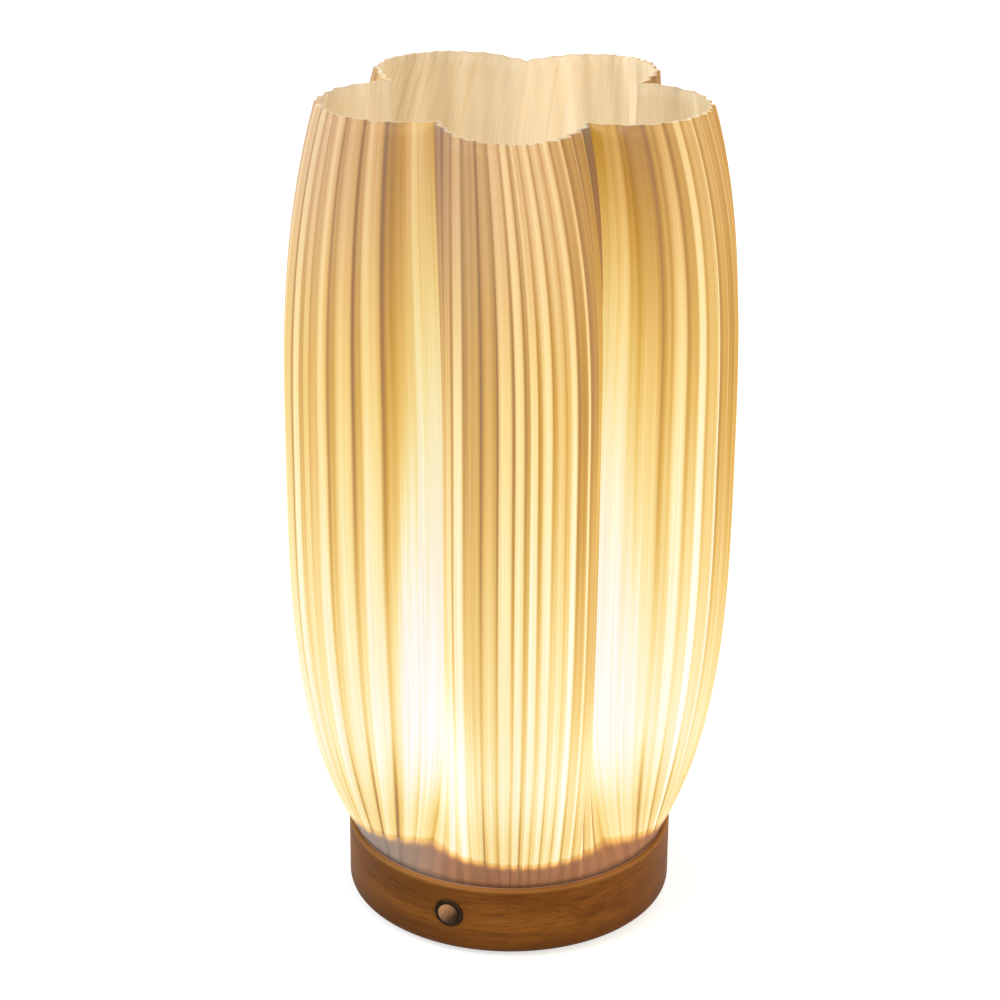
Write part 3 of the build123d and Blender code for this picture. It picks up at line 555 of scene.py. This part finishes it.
def outside_light(points):
    """Glow and tint of each point on the outside of the wall."""
    level = points[..., 2]
    tone, crease, valley_line = pleat_tones()
    exposure = plain_exposure(level) * np.exp(fold_tones(level, tone, crease, valley_line))
    # The pan hides the light from the wall below its edge, where an orange fringe fades out.
    wave = np.maximum(np.cos(column_angle - LIGHT_LINE_TURN), LIGHT_LINE_BACK)
    line = pan_top + LIGHT_LINE_RISE + LIGHT_LINE_WAVE * wave
    exposure = exposure * np.clip((level - line + FRINGE_DROP) / FRINGE_HEIGHT, 0, 1) ** FRINGE_POWER
    lit = smooth_step(line + LIT_EDGE[0], line + LIT_EDGE[1], level)[..., None]
    tint = blend(unlit_tint(tone), LIT_TINT, lit)
    glow = glow_colour(exposure) + (pale_light(level, exposure) - tint * AMBIENT_LEVEL) * lit
    return np.clip(glow, 0, 1), tint


def inside_light(points):
    """Glow and tint of each point on the inside of the wall."""
    level = points[..., 2]
    distance = np.hypot(np.hypot(points[..., 0], points[..., 1]), level - LIGHT_LEVEL)
    tone, crease, valley_line = pleat_tones()
    shifts = range(-INSIDE_FOLD_REACH, INSIDE_FOLD_REACH + 1)
    broad = sum(np.roll(tone, shift) for shift in shifts) / len(shifts)
    angle = np.arctan2(points[..., 0], -points[..., 1])
    broad = np.interp(angle, column_angle, broad, period=2 * pi)
    from_brown = np.abs((angle - INSIDE_BROWN_TURN + pi) % (2 * pi) - pi)
    back_tone = blend(INSIDE_BROWN_TONE, INSIDE_PALE_TONE, smooth_step(*INSIDE_BROWN_SPAN, from_brown))
    lobe_tone = np.where(lobe_number == LEFT_LOBE, INSIDE_LEFT_TONE, 0.0)
    lobe_tone = np.where(np.isin(lobe_number, BACK_LOBES), back_tone, lobe_tone)
    strength = (INSIDE_LIGHT + INSIDE_NEAR_LIGHT / distance) * np.exp(INSIDE_FOLD * broad + lobe_tone)
    colour = INSIDE_COLOUR * strength[..., None] ** INSIDE_COLOUR_POWERS
    lit = smooth_step(pan_top + INSIDE_LIT_EDGE[0], pan_top + INSIDE_LIT_EDGE[1], level)
    glow = (colour - INSIDE_TINT * AMBIENT_LEVEL) * lit[..., None]
    return np.clip(glow, 0, 1), np.broadcast_to(INSIDE_TINT, glow.shape)


def plain_light(points, glow, tint):
    return np.broadcast_to(glow, points.shape), np.broadcast_to(tint, points.shape)


def colour_layer(mesh, name, colours):
    layer = mesh.color_attributes.new(name, "FLOAT_COLOR", "POINT")
    filled = np.concatenate([colours, np.ones((len(colours), 1))], axis=1)
    layer.data.foreach_set("color", filled.astype(np.float32).ravel())


def make_shade():
    """One closed sheet of rows: foot ring, outside, rim, inside and back to the foot ring."""
    outside = shade_wall(0)
    inside = shade_wall(SHADE_WALL)[::-1]
    foot = [
        shade_ring(FOOT_RING_BORE, seat_floor),
        shade_ring(FOOT_RING_RADIUS, seat_floor),
        shade_ring(FOOT_RING_RADIUS, base_top),
    ]
    top_of_foot = [shade_ring(FOOT_RING_BORE, base_top)]
    dark = np.zeros(3)
    bands = [(rows, *plain_light(rows, dark, UNLIT_TINT)) for rows in foot]
    bands.append((outside, *outside_light(outside)))
    bands.append((inside, *inside_light(inside)))
    bands += [(rows, *plain_light(rows, dark, UNLIT_TINT)) for rows in top_of_foot]
    points, glow, tint = (np.concatenate(part) for part in zip(*bands))
    rows, columns = points.shape[:2]
    index = np.arange(rows * columns).reshape(rows, columns)
    above = np.roll(index, -1, axis=0)
    faces = np.stack(
        [index, np.roll(index, -1, axis=1), np.roll(above, -1, axis=1), above], axis=-1
    ).reshape(-1, 4)
    mesh = bpy.data.meshes.new("pleated_shade")
    mesh.from_pydata((points.reshape(-1, 3) * MM).tolist(), [], faces.tolist())
    mesh.polygons.foreach_set("use_smooth", np.ones(len(faces), bool))
    colour_layer(mesh, "glow", glow.reshape(-1, 3))
    colour_layer(mesh, "tint", tint.reshape(-1, 3))
    # Streaks follow the pleats: a place on a unit ring for the column, and a height in its own unit.
    ring = np.stack([np.sin(column_angle), np.cos(column_angle), np.zeros(columns)], axis=-1)
    along = np.broadcast_to(ring, points.shape) + points * (0, 0, 1 / STREAK_HEIGHT_UNIT)
    colour_layer(mesh, "along", along.reshape(-1, 3))
    mesh.materials.append(shade_material())
    made = bpy.data.objects.new("pleated_shade", mesh)
    bpy.context.scene.collection.objects.link(made)
    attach(made, "shade")
    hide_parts("shade")


def shade_material():
    """Thin printed plastic: the mesh carries its glow, and fine upright streaks lie over it."""
    made, nodes, shader = new_material(
        "pleated_plastic", Roughness=0.5, Specular_IOR_Level=0.3, Emission_Strength=1.0
    )
    glow = nodes.add("ShaderNodeAttribute", attribute_name="glow")
    tint = nodes.add("ShaderNodeAttribute", attribute_name="tint")
    along = nodes.add("ShaderNodeAttribute", attribute_name="along", output="Vector")
    streak = nodes.noise(STREAK_RATES, detail=2.0, source=along)
    streaks = nodes.mix(nodes.span(streak, 0.0, 1.0), STREAK_DARK, STREAK_LIGHT)
    layers = nodes.noise((60, 60, 4500), detail=1.0)
    height = nodes.math("ADD", streak, nodes.math("MULTIPLY", layers, 0.35))
    nodes.feed(
        shader,
        Emission_Color=nodes.mix(1.0, glow, streaks, "MULTIPLY"),
        Base_Color=nodes.mix(1.0, tint, streaks, "MULTIPLY"),
        Normal=nodes.bump(height, 0.05),
    )
    return made


# Wood
def wood_material():
    """Oiled brown wood with a fine grain along X, in flat layers, and a painted glow of the lamp along
    its top edge.
    """
    dark, light = (0.100, 0.032, 0.004), (0.335, 0.125, 0.021)
    blotch_brown, pore_brown = (0.20, 0.066, 0.008), (0.070, 0.022, 0.003)
    glow_edge_brown, foot_brown = (0.50, 0.24, 0.07), (0.075, 0.025, 0.005)
    pore_span = (0.58, 0.72)
    made, nodes, shader = new_material("oiled_wood", Specular_IOR_Level=0.08)
    figure = nodes.noise((16, 40, 130), detail=4.0, distortion=0.5)
    fibre = nodes.noise((60, 200, 900), detail=5.0, roughness=0.65)
    pores = nodes.noise((160, 500, 2200), detail=2.0, location=(1, 2, 3))
    blotch = nodes.noise((25, 25, 60), detail=2.0, location=(5, 1, 2))
    tone = nodes.math("ADD", nodes.math("MULTIPLY", figure, 0.5), nodes.math("MULTIPLY", fibre, 0.5))
    colour = nodes.mix(nodes.span(tone, 0.0, 1.0, 0.34, 0.68), dark, light)
    colour = nodes.mix(nodes.span(blotch, 0.0, 0.6, 0.35, 0.7), colour, blotch_brown)
    colour = nodes.mix(nodes.span(pores, 0.0, 0.5, *pore_span), colour, pore_brown)
    # The top edge is painted lighter, as the lamp's glow on it, and the foot of the wall is darker.
    level = nodes.add("ShaderNodeSeparateXYZ", {"Vector": nodes.place((1, 1, 1))}, output="Z")
    glow_edge_levels_m = ((base_top - WOOD_GLOW_EDGE) * MM, base_top * MM)
    foot_levels_m = ((base_top - WOOD_FOOT_DARK) * MM, (base_top - WOOD_FOOT_START) * MM)
    colour = nodes.mix(nodes.span(level, 0.0, 0.6, *glow_edge_levels_m), colour, glow_edge_brown)
    colour = nodes.mix(nodes.span(level, 0.75, 0.0, *foot_levels_m), colour, foot_brown)
    relief = nodes.math("SUBTRACT", fibre, nodes.span(pores, 0.0, 1.0, *pore_span))
    nodes.feed(
        shader,
        Base_Color=colour,
        Roughness=nodes.span(fibre, 0.45, 0.62),
        Normal=nodes.bump(relief, 0.04),
    )
    return made


# Light
def opal_material():
    """Milky dome over the light board, lit from below."""
    made, nodes, shader = new_material("opal_dome", Roughness=0.35, Emission_Strength=0.75)
    cloud = nodes.noise((60, 60, 60), detail=2.0)
    speck = nodes.noise((900, 900, 900), detail=1.0)
    nodes.feed(
        shader,
        Base_Color=nodes.mix(nodes.span(speck, 0.0, 1.0), (0.36, 0.32, 0.25), (0.42, 0.38, 0.30)),
        Emission_Color=nodes.mix(nodes.span(cloud, 0.0, 1.0), (1.0, 0.74, 0.40), (1.0, 0.82, 0.52)),
        Roughness=nodes.span(speck, 0.3, 0.42),
    )
    return made


def phosphor_material():
    """Yellow window of a light chip."""
    made, nodes, shader = new_material("phosphor", Roughness=0.5, Emission_Strength=2.0)
    speck = nodes.noise((3000, 3000, 3000), detail=2.0)
    nodes.feed(
        shader,
        Base_Color=nodes.mix(nodes.span(speck, 0.0, 1.0), (0.75, 0.45, 0.06), (0.85, 0.58, 0.12)),
        Emission_Color=nodes.mix(nodes.span(speck, 0.0, 1.0), (1.0, 0.72, 0.34), (1.0, 0.82, 0.46)),
    )
    return made


def cap_material():
    """Satin bronze with a painted highlight: lighter towards the upper left of the domed cap and darker
    towards the lower right.
    """
    dark, light = (0.035, 0.014, 0.005), (0.45, 0.23, 0.108)
    sheen_direction = (-0.7, 0.0, 0.7)
    made, nodes, shader = new_material("satin_bronze", Metallic=0.5, Specular_IOR_Level=0.15)
    low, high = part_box("button_cap")
    middle = (low + high) / 2
    reach = (high.z - low.z) / 2
    place = nodes.place((1 / reach, 1 / reach, 1 / reach), tuple(-part / reach for part in middle))
    # Painted highlight and shade: lighter towards the upper left, where the key light falls, and darker
    # towards the lower right, with brushing marks over it
    painted_sheen = nodes.add(
        "ShaderNodeVectorMath", {0: place, 1: sheen_direction}, output="Value", operation="DOT_PRODUCT"
    )
    brushing = nodes.noise((9000, 500, 500), detail=2.0)
    sheen_and_brushing = nodes.math("ADD", painted_sheen, nodes.span(brushing, -0.25, 0.25))
    nodes.feed(
        shader,
        Base_Color=nodes.mix(nodes.span(sheen_and_brushing, 0.0, 1.0, -0.6, 0.9), dark, light),
        Roughness=nodes.span(brushing, 0.32, 0.45),
    )
    return made


def dress_nodes():
    """Gives each carried-over node its finish, by the record's material slots."""
    finishes = {
        "wood": wood_material(),
        "opal": opal_material(),
        "phosphor": phosphor_material(),
        "pan_white": grained(
            "moulded_white", dark=(0.66, 0.63, 0.57), light=(0.74, 0.71, 0.65),
            grain=(0.5, 0.5, 0.5), roughness=(0.42, 0.55), bump=0.02,
        ),
        "silicone": grained(
            "grey_silicone", dark=(0.30, 0.30, 0.29), light=(0.40, 0.40, 0.38),
            grain=(0.8, 0.8, 0.8), roughness=(0.55, 0.7), bump=0.02,
        ),
        "board_white": grained(
            "white_board", dark=(0.70, 0.70, 0.66), light=(0.80, 0.80, 0.77),
            grain=(1.5, 1.5, 1.5), roughness=(0.30, 0.42), bump=0.01,
        ),
        "screw_steel": grained(
            "bright_steel", dark=(0.42, 0.42, 0.42), light=(0.58, 0.57, 0.56),
            grain=(0.2, 0.2, 0.6), roughness=(0.25, 0.40), bump=0.01, Metallic=1.0,
        ),
        "screw_black": grained(
            "blackened_steel", dark=(0.020, 0.020, 0.021), light=(0.050, 0.049, 0.048),
            grain=(0.2, 0.2, 0.6), roughness=(0.35, 0.5), bump=0.01, Metallic=1.0,
        ),
        "cover_black": grained(
            "black_plastic", dark=(0.014, 0.014, 0.015), light=(0.026, 0.026, 0.027),
            grain=(0.35, 0.35, 0.35), roughness=(0.50, 0.65), bump=0.06,
        ),
        "foot_rubber": grained(
            "matt_rubber", dark=(0.018, 0.018, 0.018), light=(0.035, 0.034, 0.033),
            grain=(0.6, 0.6, 0.6), roughness=(0.75, 0.9), bump=0.04,
        ),
        "cell_foil": grained(
            "pouch_foil", dark=(0.48, 0.49, 0.50), light=(0.66, 0.66, 0.66),
            grain=(3, 3, 3), roughness=(0.28, 0.45), bump=0.05, Metallic=1.0,
        ),
        "tape_foam": grained(
            "foam_tape", dark=(0.66, 0.65, 0.61), light=(0.77, 0.76, 0.73),
            grain=(0.3, 0.3, 0.3), roughness=(0.85, 0.95), bump=0.08,
        ),
        "lead_red": grained(
            "red_lead", dark=(0.42, 0.020, 0.014), light=(0.55, 0.032, 0.022),
            grain=(1.2, 1.2, 1.2), roughness=(0.35, 0.5), bump=0.01,
        ),
        "lead_white": grained(
            "white_lead", dark=(0.68, 0.67, 0.63), light=(0.78, 0.77, 0.74),
            grain=(1.2, 1.2, 1.2), roughness=(0.35, 0.5), bump=0.01,
        ),
        "lead_black": grained(
            "black_lead", dark=(0.012, 0.012, 0.012), light=(0.026, 0.026, 0.026),
            grain=(1.2, 1.2, 1.2), roughness=(0.35, 0.5), bump=0.01,
        ),
        "board_green": grained(
            "green_board", dark=(0.010, 0.075, 0.026), light=(0.020, 0.14, 0.05),
            grain=(1.1, 0.4, 1.1), roughness=(0.28, 0.4), bump=0.02,
        ),
        "chip_black": grained(
            "moulded_chip", dark=(0.012, 0.012, 0.013), light=(0.030, 0.030, 0.031),
            grain=(0.15, 0.15, 0.15), roughness=(0.45, 0.6), bump=0.01,
        ),
        "inlet_steel": grained(
            "drawn_steel", dark=(0.46, 0.46, 0.47), light=(0.62, 0.62, 0.61),
            grain=(0.15, 2.0, 0.15), roughness=(0.22, 0.36), bump=0.01, Metallic=1.0,
        ),
        "bezel_dark": grained(
            "dark_bronze", dark=(0.012, 0.008, 0.005), light=(0.040, 0.024, 0.013),
            grain=(0.5, 0.5, 0.5), roughness=(0.35, 0.5), bump=0.01, Metallic=1.0,
        ),
        "nut_brass": grained(
            "plain_brass", dark=(0.55, 0.36, 0.12), light=(0.70, 0.49, 0.19),
            grain=(0.4, 0.4, 0.4), roughness=(0.28, 0.42), bump=0.01, Metallic=1.0,
        ),
        "cap_bronze": cap_material(),
        "spring_steel": grained(
            "spring_wire", dark=(0.34, 0.34, 0.35), light=(0.50, 0.50, 0.50),
            grain=(0.3, 0.3, 0.3), roughness=(0.28, 0.42), bump=0.01, Metallic=1.0,
        ),
    }
    slots = {row["node"]: row["material_slot"] for row in frame["record"]["subparts"]}
    for name, node in frame["nodes"].items():
        # The shade has its own mesh and material.
        if slots[name] in finishes:
            node.data.materials.clear()
            node.data.materials.append(finishes[slots[name]])


# Stage, light and camera
def seen_directly(nodes):
    """1 for rays from the camera and for those that metal or glass throws on, and 0 for plain light."""
    path = nodes.tree.nodes.new("ShaderNodeLightPath")
    camera = path.outputs["Is Camera Ray"]
    glossy = path.outputs["Is Glossy Ray"]
    through = path.outputs["Is Transmission Ray"]
    return nodes.math("MAXIMUM", nodes.math("MAXIMUM", camera, glossy), through)


def make_stage():
    """White floor, which keeps a soft shadow, and a white world."""
    made, nodes, shader = new_material("pale_floor", Roughness=0.9, Specular_IOR_Level=0.1)
    cloud = nodes.noise((3, 3, 3), detail=2.0)
    # Far from the lamps the floor glows more, so that it looks equally white all over.
    away = nodes.add(
        "ShaderNodeVectorMath", {0: nodes.place((1, 1, 1))}, output="Value", operation="LENGTH"
    )
    glow = nodes.span(away, FLOOR_GLOW, FAR_FLOOR_GLOW, NEAR_FLOOR_M, FAR_FLOOR_M)
    nodes.feed(
        shader,
        Base_Color=nodes.mix(nodes.span(cloud, 0.0, 1.0), (0.60, 0.60, 0.60), (0.62, 0.62, 0.62)),
        Emission_Strength=nodes.math("MULTIPLY", seen_directly(nodes), glow),
    )
    shader.inputs["Emission Color"].default_value = (1, 1, 1, 1)
    half = FLOOR_HALF_M
    mesh = bpy.data.meshes.new("floor")
    corners = [(-half, -half, 0), (half, -half, 0), (half, half, 0), (-half, half, 0)]
    mesh.from_pydata(corners, [], [(0, 1, 2, 3)])
    mesh.materials.append(made)
    floor = bpy.data.objects.new("floor", mesh)
    bpy.context.scene.collection.objects.link(floor)

    world = bpy.data.worlds.new("studio")
    world.use_nodes = True
    bpy.context.scene.world = world
    nodes = Nodes(world.node_tree)
    background = world.node_tree.nodes["Background"]
    background.inputs["Color"].default_value = (1, 1, 1, 1)
    strength = nodes.span(seen_directly(nodes), WORLD_AMBIENT, 1.0, 0.0, 1.0)
    world.node_tree.links.new(strength, background.inputs["Strength"])


def area_light(name, place_m, size_m, power_w, colour):
    data = bpy.data.lights.new(name, "AREA")
    data.size = size_m
    data.energy = power_w
    data.color = colour
    lamp = bpy.data.objects.new(name, data)
    bpy.context.scene.collection.objects.link(lamp)
    aim = LIGHT_AIM_M - Vector(place_m)
    lamp.matrix_world = Matrix.Translation(place_m) @ aim.to_track_quat("-Z", "Y").to_matrix().to_4x4()


def make_camera():
    data = bpy.data.cameras.new("photo_camera")
    data.sensor_width = CAMERA_SENSOR
    data.lens = CAMERA_LENS
    camera = bpy.data.objects.new("photo_camera", data)
    bpy.context.scene.collection.objects.link(camera)
    back = Vector((sin(CAMERA_AZIMUTH), -cos(CAMERA_AZIMUTH), 0))
    side = Vector((cos(CAMERA_AZIMUTH), sin(CAMERA_AZIMUTH), 0))
    place = back * CAMERA_DISTANCE + side * CAMERA_SIDESTEP + Vector((0, 0, CAMERA_HEIGHT))
    camera.matrix_world = (
        Matrix.Translation(place * MM)
        @ Matrix.Rotation(CAMERA_AZIMUTH, 4, "Z")
        @ Matrix.Rotation(pi / 2 - CAMERA_PITCH, 4, "X")
        @ Matrix.Rotation(CAMERA_ROLL, 4, "Z")
    )
    bpy.context.scene.camera = camera


make_camera()
make_shade()
dress_nodes()
make_stage()
area_light("key", place_m=(-0.75, -0.85, 1.15), size_m=0.9, power_w=12.0, colour=(0.97, 0.98, 1.0))
area_light("fill", place_m=(0.95, -0.45, 0.75), size_m=0.8, power_w=8.0, colour=(1.0, 0.78, 0.52))
area_light("back", place_m=(0.1, 1.0, 1.1), size_m=0.8, power_w=4.0, colour=(1.0, 1.0, 1.0))
bpy.context.scene.view_settings.view_transform = "Standard"
